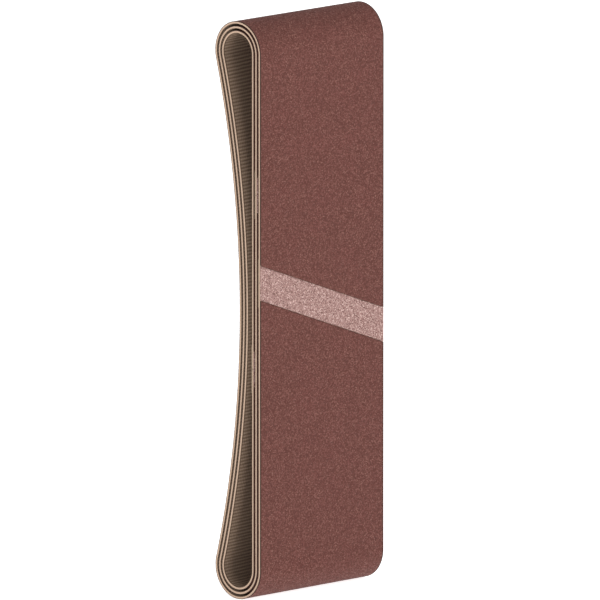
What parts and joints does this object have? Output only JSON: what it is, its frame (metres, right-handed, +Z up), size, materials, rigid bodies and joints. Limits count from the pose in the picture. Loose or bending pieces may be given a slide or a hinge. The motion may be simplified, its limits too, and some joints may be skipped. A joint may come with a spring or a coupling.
{
  "type": "nested sanding belts",
  "caption": "Nested endless sanding belts pressed flat for storage: abrasive outside, ribbed cloth inside, straight front run, pinched-in back run and a pale skewed splice.",
  "frame": {"origin": "on the surface the set stands on, under the middle of the set, when it stands on its lower bend", "axes": "+Z up along the flattened belts, X across the belts' width, -Y out of the straight front run and +Y out of the pinched-in back run"},
  "size_m": [0.075, 0.0274, 0.2517],
  "materials": {
    "backing_cloth": "ribbed woven cotton, resin filled, matt",
    "bond_resin": "dark brown resin film, satin",
    "abrasive_grain": "fine red-brown aluminium oxide grain under a resin size coat, rough",
    "ground_splice": "grain ground down at the splice, pale pink, coarse sparkle",
    "splice_tape": "thin reinforced film tape, satin"
  },
  "bodies": {
    "outer_belt": {"outer_backing": "backing_cloth", "outer_bond_coat": "bond_resin", "outer_grain_coat": "abrasive_grain", "outer_splice_band": "ground_splice", "outer_splice_tape": "splice_tape"},
    "middle_belt": {"middle_backing": "backing_cloth", "middle_bond_coat": "bond_resin", "middle_grain_coat": "abrasive_grain", "middle_splice_band": "ground_splice", "middle_splice_tape": "splice_tape"},
    "inner_belt": {"inner_backing": "backing_cloth", "inner_bond_coat": "bond_resin", "inner_grain_coat": "abrasive_grain", "inner_splice_band": "ground_splice", "inner_splice_tape": "splice_tape"}
  },
  "joints": [
    {"name": "middle_belt_slide", "type": "slide", "parent": "outer_belt", "child": "middle_belt", "axis": [1, 0, 0], "range_m": [-0.08, 0.08]},
    {"name": "inner_belt_slide", "type": "slide", "parent": "middle_belt", "child": "inner_belt", "axis": [1, 0, 0], "range_m": [-0.08, 0.08]}
  ]
}
